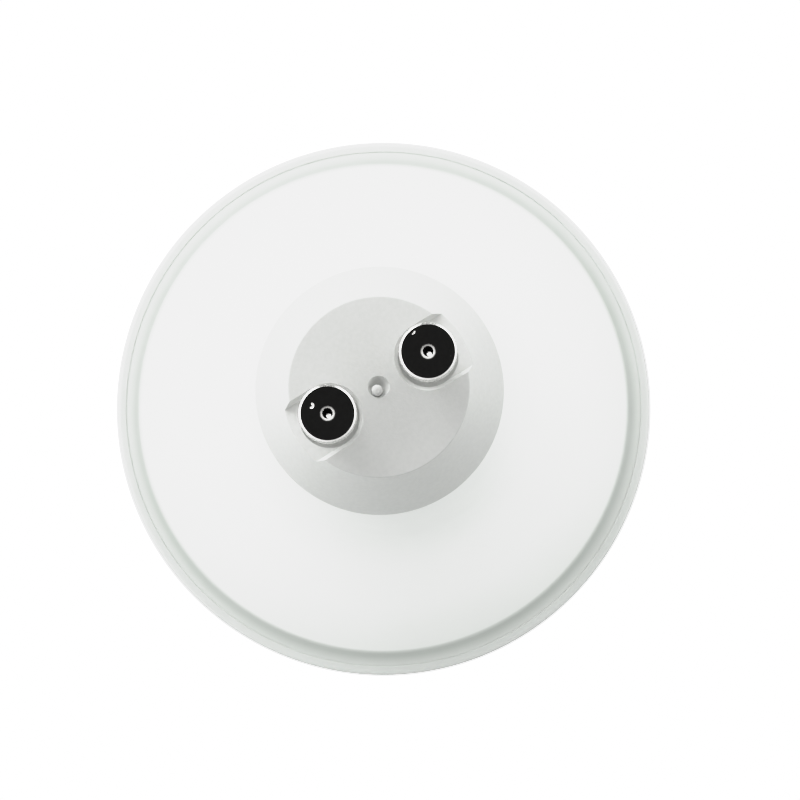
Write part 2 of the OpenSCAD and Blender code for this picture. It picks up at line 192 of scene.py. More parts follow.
# ---------------------------------------------------------------------------
# Materials
# ---------------------------------------------------------------------------
class Surface:
    """A Principled material whose colour, roughness and relief vary at real scale."""

    def __init__(self, name, metallic=0.0, ior=None, specular=None, coat=0.0, subsurface=0.0):
        self.material = bpy.data.materials.new(name)
        self.material.use_nodes = True
        self.tree = self.material.node_tree
        self.tree.nodes.clear()
        self.output = self.node("ShaderNodeOutputMaterial")
        self.bsdf = self.node("ShaderNodeBsdfPrincipled")
        self.link(self.bsdf.outputs["BSDF"], self.output.inputs["Surface"])
        self.bsdf.inputs["Metallic"].default_value = metallic
        self.bsdf.inputs["Coat Weight"].default_value = coat
        if ior is not None:
            self.bsdf.inputs["IOR"].default_value = ior
        if specular is not None:
            self.bsdf.inputs["Specular IOR Level"].default_value = specular
        if subsurface:
            self.bsdf.inputs["Subsurface Weight"].default_value = subsurface
            self.bsdf.inputs["Subsurface Scale"].default_value = 0.0006
            self.bsdf.inputs["Subsurface Radius"].default_value = (1.0, 1.0, 1.0)
        self.place = self.node("ShaderNodeTexCoord").outputs["Object"]
        self.normal = None

    def node(self, kind, **settings):
        made = self.tree.nodes.new(kind)
        for key, value in settings.items():
            setattr(made, key, value)
        return made

    def link(self, a, b):
        self.tree.links.new(a, b)

    def noise(self, size_mm, detail=3.0, stretch=None):
        """Noise whose features are about size_mm across."""
        place = self.place
        if stretch is not None:
            mapping = self.node("ShaderNodeMapping")
            mapping.inputs["Scale"].default_value = stretch
            self.link(place, mapping.inputs["Vector"])
            place = mapping.outputs["Vector"]
        made = self.node("ShaderNodeTexNoise")
        made.inputs["Scale"].default_value = 1.0 / (size_mm * MM)
        made.inputs["Detail"].default_value = detail
        self.link(place, made.inputs["Vector"])
        return made.outputs["Fac"]

    def spread(self, value, low, high, out_low, out_high):
        made = self.node("ShaderNodeMapRange")
        for key, number in (("From Min", low), ("From Max", high), ("To Min", out_low), ("To Max", out_high)):
            made.inputs[key].default_value = number
        self.link(value, made.inputs["Value"])
        return made.outputs["Result"]

    def colours(self, value, first, second, low=0.35, high=0.65):
        """Colour between first and second, following a value."""
        ramp = self.node("ShaderNodeValToRGB")
        ramp.color_ramp.elements[0].position = low
        ramp.color_ramp.elements[0].color = (*first, 1)
        ramp.color_ramp.elements[1].position = high
        ramp.color_ramp.elements[1].color = (*second, 1)
        self.link(value, ramp.inputs["Fac"])
        self.link(ramp.outputs["Color"], self.bsdf.inputs["Base Color"])
        return ramp.outputs["Color"]

    def roughness(self, value, low, high):
        self.link(self.spread(value, 0.3, 0.7, low, high), self.bsdf.inputs["Roughness"])

    def relief(self, height, depth_mm, strength=None):
        """Adds relief of the given depth over what is already there."""
        bump = self.node("ShaderNodeBump")
        bump.inputs["Distance"].default_value = depth_mm * MM
        bump.inputs["Strength"].default_value = 1.0
        if strength is not None:
            self.link(strength, bump.inputs["Strength"])
        self.link(height, bump.inputs["Height"])
        if self.normal is not None:
            self.link(self.normal, bump.inputs["Normal"])
        self.normal = bump.outputs["Normal"]
        self.link(self.normal, self.bsdf.inputs["Normal"])

    def tint(self, mask, below):
        """Multiplies the base colour by another where the mask is 0."""
        colour = self.bsdf.inputs["Base Color"].links[0].from_socket
        made = self.node("ShaderNodeMix", data_type="RGBA", blend_type="MULTIPLY")
        self.link(self.spread(mask, 0.0, 1.0, 1.0, 0.0), made.inputs["Factor"])
        self.link(colour, made.inputs["A"])
        made.inputs["B"].default_value = (*below, 1)
        self.link(made.outputs["Result"], self.bsdf.inputs["Base Color"])

    def height_mask(self, low_mm, high_mm):
        """1 above high_mm on the lamp's axis, 0 below low_mm."""
        split = self.node("ShaderNodeSeparateXYZ")
        self.link(self.place, split.inputs["Vector"])
        return self.spread(split.outputs["Z"], low_mm * MM, high_mm * MM, 0.0, 1.0)


def shade(colour, factor):
    return tuple(min(1.0, c * factor) for c in colour)


def housing_plastic():
    s = Surface("housing_plastic", ior=1.5, subsurface=0.2)
    white = (0.865, 0.885, 0.86)
    s.colours(s.noise(9.0, 4.0), shade(white, 0.985), shade(white, 1.01))
    # Painted shade: the lowest part of the bowl, next to the ledge, is made a tenth darker to stand in for
    # the shade on its steeper slope.
    s.tint(s.height_mask(SHOULDER_Z + 0.2, SHOULDER_Z + 4.5), (0.9, 0.91, 0.9))
    # Painted shade: below the bowl the white turns a dark grey-green. It is darkest at the ledge's inner edge
    # and lighter towards the flange and down it, and its green tint is a painted reflection.
    bowl = s.height_mask(SHOULDER_Z + 0.02, SHOULDER_Z + 0.4)
    rim = s.spread(s.height_mask(SHOULDER_Z - 0.03, FLANGE_Z), 0.0, 1.0, 0.0, 0.4)
    above = s.node("ShaderNodeMath", operation="MAXIMUM")
    s.link(bowl, above.inputs[0])
    s.link(rim, above.inputs[1])
    s.tint(above.outputs["Value"], (0.51, 0.523, 0.515))
    s.roughness(s.noise(2.5), 0.34, 0.44)
    s.relief(s.noise(3.0, 2.0), 0.004)
    s.relief(s.noise(0.05, 2.0), 0.001)
    return s.material


def base_plastic():
    s = Surface("base_plastic", ior=1.5, subsurface=0.1)
    # The cap's plastic is greyer than the housing's, and this grey is darker than that plastic as well, as
    # painted shade.
    grey = (0.515, 0.523, 0.510)
    s.colours(s.noise(0.35, 5.0), shade(grey, 0.975), shade(grey, 1.02))
    # Painted shade: the end face is made a fifth darker than the bevel.
    s.tint(s.height_mask(FACE_Z - 0.02, FACE_Z - 0.1), (0.8, 0.8, 0.8))
    s.roughness(s.noise(1.5), 0.5, 0.62)
    s.relief(s.noise(0.05, 2.0), 0.001)
    s.relief(s.noise(0.16, 4.0), 0.012, s.height_mask(FACE_Z - 0.12, FACE_Z - 0.02))
    return s.material


def ring_plastic():
    s = Surface("ring_plastic", ior=1.5, subsurface=0.15)
    # Painted shade: the ring's white plastic is given a mid grey to stand in for the shade at the lamp's rim.
    white = (0.54, 0.56, 0.54)
    s.colours(s.noise(7.0, 4.0), shade(white, 0.985), shade(white, 1.01))
    s.roughness(s.noise(2.0), 0.28, 0.4)
    s.relief(s.noise(2.4, 2.0), 0.003)
    s.relief(s.noise(0.06, 2.0), 0.001)
    return s.material


def lens_plastic():
    s = Surface("lens_plastic", ior=1.58)
    s.bsdf.inputs["Transmission Weight"].default_value = 0.55
    s.colours(s.noise(4.0), (0.88, 0.9, 0.89), (0.93, 0.94, 0.93))
    s.roughness(s.noise(1.2), 0.34, 0.46)
    s.relief(s.noise(0.12, 3.0), 0.004)
    return s.material


def bright_plastic():
    s = Surface("reflector_plastic", ior=1.5, coat=0.3)
    s.colours(s.noise(5.0), (0.86, 0.86, 0.85), (0.9, 0.9, 0.89))
    s.roughness(s.noise(1.5), 0.14, 0.24)
    s.relief(s.noise(0.8, 2.0), 0.006)
    return s.material


def pin_metal():
    """Plated pin: polished on its end, duller on its sides, with painted shade in its centre hole."""
    s = Surface("pin_metal", metallic=1.0)
    split = s.node("ShaderNodeSeparateXYZ")
    s.link(s.place, split.inputs["Vector"])

    def math_node(operation, *inputs):
        made = s.node("ShaderNodeMath", operation=operation)
        for socket, value in zip(made.inputs, inputs):
            if isinstance(value, float):
                socket.default_value = value
            else:
                s.link(value, socket)
        return made.outputs["Value"]

    # Painted shade: the centre hole's wall and floor are coloured near-black, while the core's end keeps the
    # metal's colour.
    across = math_node("SUBTRACT", math_node("ABSOLUTE", split.outputs["X"]), PIN_X * MM)
    along = split.outputs["Y"]
    squares = [math_node("MULTIPLY", offset, offset) for offset in (across, along)]
    reach = math_node("SQRT", math_node("ADD", *squares))
    deep = s.height_mask(PIN_END - 0.08, PIN_END - 0.13)
    wall = math_node("MULTIPLY", s.spread(reach, 0.49 * MM, 0.47 * MM, 0.0, 1.0), deep)
    core = math_node(
        "MULTIPLY", s.spread(reach, 0.455 * MM, 0.445 * MM, 0.0, 1.0),
        s.height_mask(PIN_END - HOLE_DEPTH + 0.05, PIN_END - HOLE_DEPTH + 0.3),
    )
    dark = math_node("MULTIPLY", wall, math_node("SUBTRACT", 1.0, core))
    light = s.colours(s.noise(0.5, 5.0), (0.78, 0.77, 0.75), (0.88, 0.87, 0.85))
    mixed = s.node("ShaderNodeMix", data_type="RGBA")
    s.link(dark, mixed.inputs["Factor"])
    s.link(light, mixed.inputs["A"])
    mixed.inputs["B"].default_value = (0.02, 0.02, 0.02, 1)
    s.link(mixed.outputs["Result"], s.bsdf.inputs["Base Color"])
    end = s.height_mask(PIN_END - 0.03, PIN_END - 0.01)
    side_rough = s.spread(s.noise(0.22, 4.0), 0.3, 0.7, 0.14, 0.34)
    end_rough = s.spread(s.noise(0.6, 4.0), 0.3, 0.7, 0.03, 0.07)
    mix = s.node("ShaderNodeMix", data_type="FLOAT")
    s.link(end, mix.inputs["Factor"])
    s.link(side_rough, mix.inputs["A"])
    s.link(end_rough, mix.inputs["B"])
    s.link(mix.outputs["Result"], s.bsdf.inputs["Roughness"])
    s.relief(s.noise(0.3, 3.0, (1.0, 1.0, 0.5)), 0.003, s.spread(end, 0.0, 1.0, 1.0, 0.08))
    return s.material


def metal(name, dark, light, rough, grain_mm=0.4, depth_mm=0.006):
    """Metal of a colour between two, with a roughness between two and a fine grain."""
    s = Surface(name, metallic=1.0)
    s.colours(s.noise(grain_mm * 3, 4.0), dark, light)
    s.roughness(s.noise(grain_mm * 2, 4.0), *rough)
    s.relief(s.noise(grain_mm, 3.0), depth_mm)
    return s.material


def plastic(name, dark, light, rough, grain_mm=0.25, depth_mm=0.004):
    """Plastic, rubber or lacquer of a colour between two, with a roughness between two and a fine grain."""
    s = Surface(name, ior=1.5)
    s.colours(s.noise(grain_mm * 6, 4.0), dark, light)
    s.roughness(s.noise(grain_mm * 4), *rough)
    s.relief(s.noise(grain_mm, 3.0), depth_mm)
    return s.material


def winding_wire():
    s = Surface("enamel_wire", metallic=1.0, coat=0.6)
    wave = s.node("ShaderNodeTexWave", wave_type="BANDS", bands_direction="Z")
    wave.inputs["Scale"].default_value = 1.0 / (0.22 * MM) / 20 * math.pi
    wave.inputs["Distortion"].default_value = 0.4
    s.link(s.place, wave.inputs["Vector"])
    s.colours(s.noise(0.8, 4.0), (0.42, 0.15, 0.04), (0.62, 0.27, 0.1))
    s.roughness(s.noise(0.5), 0.2, 0.32)
    s.relief(wave.outputs["Fac"], 0.08)
    return s.material


def board_mask():
    """Green solder mask with a faint pattern of tracks under it."""
    s = Surface("board_green", ior=1.5, coat=0.5)
    tracks = s.node("ShaderNodeTexVoronoi", feature="DISTANCE_TO_EDGE", distance="MANHATTAN")
    tracks.inputs["Scale"].default_value = 1.0 / (2.6 * MM)
    s.link(s.place, tracks.inputs["Vector"])
    edge = s.spread(tracks.outputs["Distance"], 0.05, 0.09, 0.0, 1.0)
    s.colours(edge, (0.035, 0.2, 0.07), (0.012, 0.11, 0.035), 0.2, 0.8)
    s.roughness(s.noise(1.0), 0.22, 0.34)
    s.relief(edge, 0.03)
    return s.material


MATERIALS = {
    "housing_plastic": housing_plastic(),
    "base_plastic": base_plastic(),
    "ring_plastic": ring_plastic(),
    "lens_plastic": lens_plastic(),
    "reflector_plastic": bright_plastic(),
    "pin_metal": pin_metal(),
    "sink_aluminium": metal("sink_aluminium", (0.55, 0.56, 0.57), (0.7, 0.71, 0.72), (0.28, 0.42), 0.5, 0.01),
    "pad_rubber": plastic("pad_rubber", (0.26, 0.33, 0.44), (0.32, 0.39, 0.5), (0.7, 0.85), 0.3, 0.01),
    "led_mask": plastic("led_mask", (0.8, 0.8, 0.78), (0.86, 0.86, 0.84), (0.25, 0.35), 0.5, 0.003),
    "led_ceramic": plastic("led_ceramic", (0.78, 0.76, 0.7), (0.86, 0.84, 0.78), (0.3, 0.4), 0.2, 0.003),
    "led_phosphor": plastic("led_phosphor", (0.75, 0.5, 0.03), (0.85, 0.62, 0.06), (0.2, 0.3), 0.15, 0.01),
    "screw_steel": metal("screw_steel", (0.42, 0.43, 0.44), (0.6, 0.6, 0.6), (0.25, 0.42), 0.3, 0.01),
    "solder_tin": metal("solder_tin", (0.6, 0.6, 0.61), (0.8, 0.8, 0.8), (0.12, 0.3), 0.2, 0.02),
    "lead_brown": plastic("lead_brown", (0.1, 0.035, 0.012), (0.14, 0.05, 0.02), (0.4, 0.55), 0.2, 0.006),
    "lead_blue": plastic("lead_blue", (0.01, 0.04, 0.22), (0.02, 0.06, 0.28), (0.4, 0.55), 0.2, 0.006),
    "board_green": board_mask(),
    "header_black": plastic("header_black", (0.012, 0.012, 0.013), (0.02, 0.02, 0.021), (0.4, 0.55)),
    "capacitor_sleeve": plastic(
        "capacitor_sleeve", (0.01, 0.012, 0.04), (0.02, 0.022, 0.06), (0.18, 0.3), 0.4
    ),
    "film_box": plastic("film_box", (0.5, 0.26, 0.02), (0.6, 0.33, 0.03), (0.3, 0.42), 0.4, 0.008),
    "varistor_coat": plastic("varistor_coat", (0.01, 0.05, 0.26), (0.02, 0.07, 0.32), (0.15, 0.3), 0.6, 0.03),
    "resistor_coat": plastic("resistor_coat", (0.2, 0.36, 0.4), (0.26, 0.42, 0.46), (0.15, 0.3), 0.4, 0.01),
    "chip_black": plastic("chip_black", (0.01, 0.01, 0.01), (0.018, 0.018, 0.018), (0.5, 0.65), 0.1, 0.004),
    "ferrite": plastic("ferrite", (0.02, 0.02, 0.022), (0.035, 0.035, 0.04), (0.35, 0.6), 0.2, 0.012),
    "bobbin_nylon": plastic("bobbin_nylon", (0.6, 0.52, 0.33), (0.68, 0.6, 0.4), (0.4, 0.5), 0.3, 0.004),
    "enamel_wire": winding_wire(),
    "chip_ceramic": plastic("chip_ceramic", (0.25, 0.17, 0.08), (0.36, 0.26, 0.14), (0.35, 0.5), 0.3, 0.006),
    "shield_tin": metal("shield_tin", (0.5, 0.5, 0.5), (0.66, 0.66, 0.65), (0.2, 0.34), 0.5, 0.008),
    "antenna_gold": metal("antenna_gold", (0.7, 0.42, 0.12), (0.85, 0.58, 0.22), (0.22, 0.34), 0.2, 0.003),
}


# ---------------------------------------------------------------------------
# Mesh tools
# ---------------------------------------------------------------------------
SMOOTH_BELOW = 32.0  # degrees between faces that still shade as one surface


def arc(cr, cz, r, a, b, n):
    """Arc from tilt a to tilt b; a negative radius makes a hollow arc."""
    tilts = [a + (b - a) * i / n for i in range(n + 1)]
    return [(cr + r * sind(t), cz + r * cosd(t)) for t in tilts]


def rounded(points, steps=5):
    """Outline from (r, z) or (r, z, radius) corners, each radius rounding its own corner."""
    flat = [(Vector(p[:2]), p[2] if len(p) > 2 else 0.0) for p in points]
    made = []
    for i, (here, radius) in enumerate(flat):
        if not radius:
            made.append(tuple(here))
            continue
        before = (flat[i - 1][0] - here).normalized()
        after = (flat[(i + 1) % len(flat)][0] - here).normalized()
        half = before.angle(after) / 2
        reach = radius / math.tan(half)
        middle = here + (before + after).normalized() * (radius / math.sin(half))
        start = here + before * reach - middle
        end = here + after * reach - middle
        for k in range(steps + 1):
            made.append(tuple(middle + start.slerp(end, k / steps) * radius))
    return made


def revolve(outline, steps=TURN_STEPS):
    """Mesh of a closed (r, z) outline in mm turned about the lamp's axis."""
    bm = bmesh.new()
    rings = []
    for r, z in outline:
        if r < 1e-6:
            rings.append([bm.verts.new((0, 0, z * MM))])
        else:
            rings.append([
                bm.verts.new((r * MM * cosd(360 * k / steps), r * MM * sind(360 * k / steps), z * MM))
                for k in range(steps)
            ])
    count = len(rings)
    for i in range(count):
        low, high = rings[i], rings[(i + 1) % count]
        for k in range(steps):
            a, b = low[k % len(low)], low[(k + 1) % len(low)]
            c, d = high[(k + 1) % len(high)], high[k % len(high)]
            corners = [v for n, v in enumerate((a, b, c, d)) if v not in (a, b, c, d)[:n]]
            if len(corners) > 2:
                bm.faces.new(corners)
    bmesh.ops.recalc_face_normals(bm, faces=bm.faces)
    return bm


def shape_up(bm, smooth_below=SMOOTH_BELOW):
    """Sets smooth faces and sharp edges."""
    for face in bm.faces:
        face.smooth = True
    for edge in bm.edges:
        edge.smooth = edge.calc_face_angle(0.0) < math.radians(smooth_below)


def finish_piece(name, bm, slot, nodes=(), smooth_below=SMOOTH_BELOW):
    """Object from a bmesh, with its material, body and the CAD nodes that it stands for."""
    shape_up(bm, smooth_below)
    mesh = bpy.data.meshes.new(name)
    bm.to_mesh(mesh)
    bm.free()
    mesh.materials.append(MATERIALS[slot])
    piece = bpy.data.objects.new(name, mesh)
    bpy.context.scene.collection.objects.link(piece)
    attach(piece, "root")
    if nodes:
        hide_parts(*nodes)
    return piece


def scratch_object(bm):
    mesh = bpy.data.meshes.new("scratch")
    bm.to_mesh(mesh)
    bm.free()
    made = bpy.data.objects.new("scratch", mesh)
    bpy.context.scene.collection.objects.link(made)
    return made


def with_modifiers(bm, *steps):
    """Applies modifiers, given as (kind, settings), to a bmesh; an object among the settings is used up."""
    work = scratch_object(bm)
    helpers = []
    for kind, settings in steps:
        modifier = work.modifiers.new(kind, kind)
        for key, value in settings.items():
            setattr(modifier, key, value)
            if isinstance(value, bpy.types.Object):
                helpers.append(value)
    bpy.context.view_layer.update()
    ready = work.evaluated_get(bpy.context.evaluated_depsgraph_get())
    out = bmesh.new()
    out.from_mesh(ready.to_mesh())
    for used in [work, *helpers]:
        mesh = used.data
        bpy.data.objects.remove(used)
        bpy.data.meshes.remove(mesh)
    return out


def loft(loops):
    """Closed loops of the same length, joined into a solid."""
    bm = bmesh.new()
    rows = [[bm.verts.new(Vector(p) * MM) for p in loop] for loop in loops]
    n = len(rows[0])
    for low, high in zip(rows, rows[1:]):
        for k in range(n):
            bm.faces.new((low[k], low[(k + 1) % n], high[(k + 1) % n], high[k]))
    bm.faces.new(rows[0][::-1])
    bm.faces.new(rows[-1])
    bmesh.ops.recalc_face_normals(bm, faces=bm.faces)
    return bm


def join(*parts):
    """One bmesh that holds several."""
    out = parts[0]
    for part in parts[1:]:
        mesh = bpy.data.meshes.new("join")
        part.to_mesh(mesh)
        part.free()
        out.from_mesh(mesh)
        bpy.data.meshes.remove(mesh)
    return out


# ---------------------------------------------------------------------------
# Housing
# ---------------------------------------------------------------------------
def shell_curve(d, flare_steps=28, crown_steps=40):
    """Outside of flare and bowl, moved in by d."""
    ledge_cr = SHOULDER_R + LEDGE_ROUND * sind(LEDGE_TILT)
    ledge_cz = SHOULDER_Z + LEDGE_ROUND * cosd(LEDGE_TILT)
    crown_cr = ledge_cr - (LEDGE_ROUND + CROWN_R) * sind(CROWN_TILT_OUT)
    crown_cz = ledge_cz - (LEDGE_ROUND + CROWN_R) * cosd(CROWN_TILT_OUT)
    flare_cr = crown_cr + (CROWN_R + FLARE_R) * sind(CROWN_TILT_IN)
    flare_cz = crown_cz + (CROWN_R + FLARE_R) * cosd(CROWN_TILT_IN)
    points = arc(flare_cr, flare_cz, -(FLARE_R + d), NECK_TILT, CROWN_TILT_IN, flare_steps)
    points += arc(crown_cr, crown_cz, CROWN_R - d, CROWN_TILT_IN, CROWN_TILT_OUT, crown_steps)[1:]
    if not d:
        points += arc(ledge_cr, ledge_cz, -LEDGE_ROUND, CROWN_TILT_OUT, LEDGE_TILT, 8)[1:]
    return points


def pocket_cutter(side):
    """Open-ended pocket round one pin, its walls leaning outwards towards the mouth."""
    loops = []
    rise = POCKET_DEPTH + 1.0
    lean = (POCKET_R - POCKET_FLOOR_R) / POCKET_DEPTH
    for z, r in ((FACE_Z - POCKET_DEPTH, POCKET_FLOOR_R), (FACE_Z + 1.0, POCKET_FLOOR_R + lean * rise)):
        turn = [90 + 180 * k / 48 for k in range(49)]
        loop = [(side * (PIN_X + r * cosd(a)), r * sind(a), z) for a in turn]
        loop = [(side * 14, r, z)] + loop + [(side * 14, -r, z)]
        loops.append(loop)
    return loft(loops)


def cylinder(r, z_low, z_high, x=0.0, y=0.0, segments=48):
    bm = bmesh.new()
    bmesh.ops.create_cone(
        bm, cap_ends=True, segments=segments, radius1=r * MM, radius2=r * MM, depth=(z_high - z_low) * MM,
        matrix=Matrix.Translation(Vector((x, y, (z_low + z_high) / 2)) * MM)
    )
    return bm


def block(low, high):
    bm = bmesh.new()
    bmesh.ops.create_cube(bm, size=1.0)
    for vert in bm.verts:
        vert.co = Vector(((high[i] if vert.co[i] > 0 else low[i]) * MM for i in range(3)))
    return bm


def cut(bm, tools, operation="DIFFERENCE"):
    """Exact boolean of a bmesh with each of several others in turn; all of them are used up."""
    steps = [
        ("BOOLEAN", {"operation": operation, "solver": "EXACT", "object": scratch_object(tool)})
        for tool in tools
    ]
    return with_modifiers(bm, *steps)


def soften(bm, width, angle=34):
    """Small rounds on every sharp edge."""
    return with_modifiers(bm, ("BEVEL", {
        "width": width * MM, "segments": 2, "limit_method": "ANGLE", "angle_limit": math.radians(angle),
        "use_clamp_overlap": True,
    }))


def make_housing():
    """Bowl-shaped shell with an open neck, and two screw bosses inside."""
    profile = rounded([
        (NECK_IN_R, BEVEL_Z, 0.05), (BEVEL_R, BEVEL_Z, 0.06), *shell_curve(0),
        (FLANGE_R, FLANGE_Z), (FLANGE_R, FLANGE_Z - FLANGE_H), (SKIRT_R, FLANGE_Z - FLANGE_H),
        (SKIRT_R, SKIRT_Z, 0.3), (SKIRT_IN_R, SKIRT_Z, 0.3), (SKIRT_IN_R, SKIRT_TOP),
        *shell_curve(WALL, 20, 20)[::-1], (NECK_IN_R + 0.5, SPIGOT_Z - 0.9), (NECK_IN_R, SPIGOT_Z - 0.4),
    ], 6)
    inside = revolve([(0, BEVEL_Z), (BEVEL_R - 0.4, BEVEL_Z), *shell_curve(0.4, 20, 20), (21.6, 5), (0, 5)])
    bosses = join(*[cylinder(BOSS_R, BOSS_Z, BOSS_Z + 8, 0, up * BOSS_Y) for up in (-1, 1)])
    body = cut(revolve(profile), [cut(bosses, [inside], "INTERSECT")], "UNION")
    holes = [cylinder(SCREW_R, BOSS_Z - 1, BOSS_Z + 2.2, 0, up * BOSS_Y) for up in (-1, 1)]
    return finish_piece("housing_shell", cut(body, holes), "housing_plastic", ["housing"])


def make_base_cap():
    """Cap that carries the pins: textured end face, bevel, pockets and spigot."""
    body = revolve(rounded([
        (0, FACE_Z), (FACE_R, FACE_Z, 0.15), (BEVEL_R, BEVEL_Z, 0.06), (SPIGOT_R, BEVEL_Z),
        (SPIGOT_R, SPIGOT_Z, 0.2), (SPIGOT_IN_R, SPIGOT_Z, 0.2), (SPIGOT_IN_R, BEVEL_Z - 1, 0.4),
        (FACE_R - 0.4, END_Z, 0.4), (0, END_Z),
    ], 6))
    rails = [
        block(
            (side * RAIL_X - RAIL_HALF_W, up * RAIL_Y - RAIL_HALF_T, SPIGOT_Z - 0.4),
            (side * RAIL_X + RAIL_HALF_W, up * RAIL_Y + RAIL_HALF_T, END_Z + 0.5),
        )
        for side in (-1, 1) for up in (-1, 1)
    ]
    dimple = bmesh.new()
    bmesh.ops.create_uvsphere(
        dimple, u_segments=64, v_segments=48, radius=math.hypot(GATE_R, GATE_LIFT) * MM,
        matrix=Matrix.Translation((0, 0, (FACE_Z + GATE_LIFT) * MM))
    )
    well_floor = FACE_Z - POCKET_DEPTH - WELL_DEPTH
    wells = [
        cylinder(POCKET_FLOOR_R, well_floor, FACE_Z - POCKET_DEPTH / 2, side * PIN_X, 0, 96)
        for side in (-1, 1)
    ]
    bores = [cylinder(PIN_NECK_R, END_Z - 1.5, END_Z + 4.5, side * PIN_X) for side in (-1, 1)]
    body = cut(body, [join(*rails)], "UNION")
    body = cut(body, [pocket_cutter(-1), pocket_cutter(1), *wells, *bores, dimple])
    moulding = join(soften(body, 0.08), gate_nub())
    return finish_piece("base_cap_moulding", moulding, "base_plastic", ["base_cap"])


def gate_nub():
    """Stub that was left where the moulding was broken from its sprue."""
    height, foot_r, top_r = 1.1, 0.56, 0.46
    sides, rings = 32, 8
    angles = [360 * k / sides for k in range(sides)]
    centre = -0.14 * view_right - 0.3 * view_up
    centre.z = FACE_Z - GATE_R
    loops = []
    for i in range(rings + 1):
        rise = i / rings
        r = foot_r + (top_r - foot_r) * rise
        loop = []
        for a in angles:
            wobble = 1 + 0.05 * noise.noise(Vector((cosd(a) * 1.3, sind(a) * 1.3, rise * 2)))
            loop.append(centre + Vector((r * wobble * cosd(a), r * wobble * sind(a), height * rise)))
        loops.append(loop)
    for shrink, lift in ((0.85, 0.08), (0.6, 0.15), (0.35, 0.17), (0.12, 0.18)):
        top = []
        for a in angles:
            x, y = top_r * shrink * cosd(a), top_r * shrink * sind(a)
            rough = 0.04 * noise.noise(Vector((x * 5, y * 5, 3.0)))
            top.append(centre + Vector((x, y, height + lift + rough)))
        loops.append(top)
    return loft(loops)


make_housing()
make_base_cap()


# ---------------------------------------------------------------------------
# Front ring, lens and reflector
# ---------------------------------------------------------------------------
def make_ring():
    """Band with a rounded front edge, round the flange and the skirt, and a lip in front of the lens."""
    fit = 0.004
    profile = rounded([
        (LIP_R, 0, 0.35), (RING_R, 0, 1.2), (RING_R, RING_H, 0.4), (FLANGE_R + fit + 0.1, RING_H),
        (FLANGE_R + fit, FLANGE_Z), (FLANGE_R + fit, FLANGE_Z - FLANGE_H),
        (SKIRT_R + fit, FLANGE_Z - FLANGE_H), (SKIRT_R + fit, SKIRT_Z),
        (LENS_R + fit, SKIRT_Z), (LENS_R + fit, LENS_Z), (LIP_R, LENS_Z, 0.1),
    ], 10)
    return finish_piece("front_ring_band", revolve(profile), "ring_plastic", ["front_ring"])


def make_lens():
    """Frosted lens with fine prism rings on its back."""
    pitch, depth = 0.8, 0.22
    top = LENS_Z + LENS_T
    back = [(0, top)]
    r = 1.6
    while r + pitch < 19.6:
        back += [(r, top), (r + 0.12, top - depth), (r + pitch - 0.05, top)]
        r += pitch
    skirt = rounded([
        (20.2, top), (20.2, top + 0.9, 0.15), (21.2, top + 0.9, 0.15), (21.2, top),
        (LENS_R, top, 0.15), (LENS_R, LENS_Z, 0.15), (0, LENS_Z),
    ], 4)
    return finish_piece("lens_disc", revolve(back + skirt), "lens_plastic", ["diffuser"], 12)


def make_reflector():
    low, high = mirror_low.z, mirror_high.z
    profile = rounded([
        (19, low, 0.2), (21.3, low, 0.15), (21.3, low + 1, 0.15), (19.6, low + 1, 0.3),
        (17, high - 0.5, 0.3), (17, high), (15.4, high), (15.4, high - 0.5, 0.3),
    ], 5)
    return finish_piece("reflector_cone", revolve(profile), "reflector_plastic", ["reflector"])


make_ring()
make_lens()
make_reflector()


# ---------------------------------------------------------------------------
# Contact pins
# ---------------------------------------------------------------------------
# Marks on the pins' ends, in mm and degrees: place to the right and up in the picture from the pin's axis,
# radius, width and depth of the groove, and the middle and half-width of the arc that it covers
DENTS = {
    "left": ((-1.4, 0.66, 0.18, 0.05, 0.07, -15, 82), (1.5, -0.9, 0.05, 0.04, 0.006, 0, 180)),
    "right": (
        (-1.45, 1.72, 0.3, 0.035, 0.05, -35, 24), (1.62, -0.15, 0.36, 0.035, 0.012, 5, 60),
        (2.1, -0.1, 0.34, 0.03, 0.01, 180, 50), (-1.6, -0.6, 0.05, 0.04, 0.005, 0, 180),
    ),
}


def dent_depth(place, dents):
    """Depth at a place (right, up) of crescent-shaped marks."""
    total = 0.0
    for right, up, radius, width, depth, middle, half in dents:
        x, y = place[0] - right, place[1] - up
        off = (math.hypot(x, y) - radius) / width
        turn = abs((math.degrees(math.atan2(y, x)) - middle + 180) % 360 - 180)
        total += depth * math.exp(-off * off) * min(1.0, max(0.0, (half + 12 - turn) / 12))
    return total


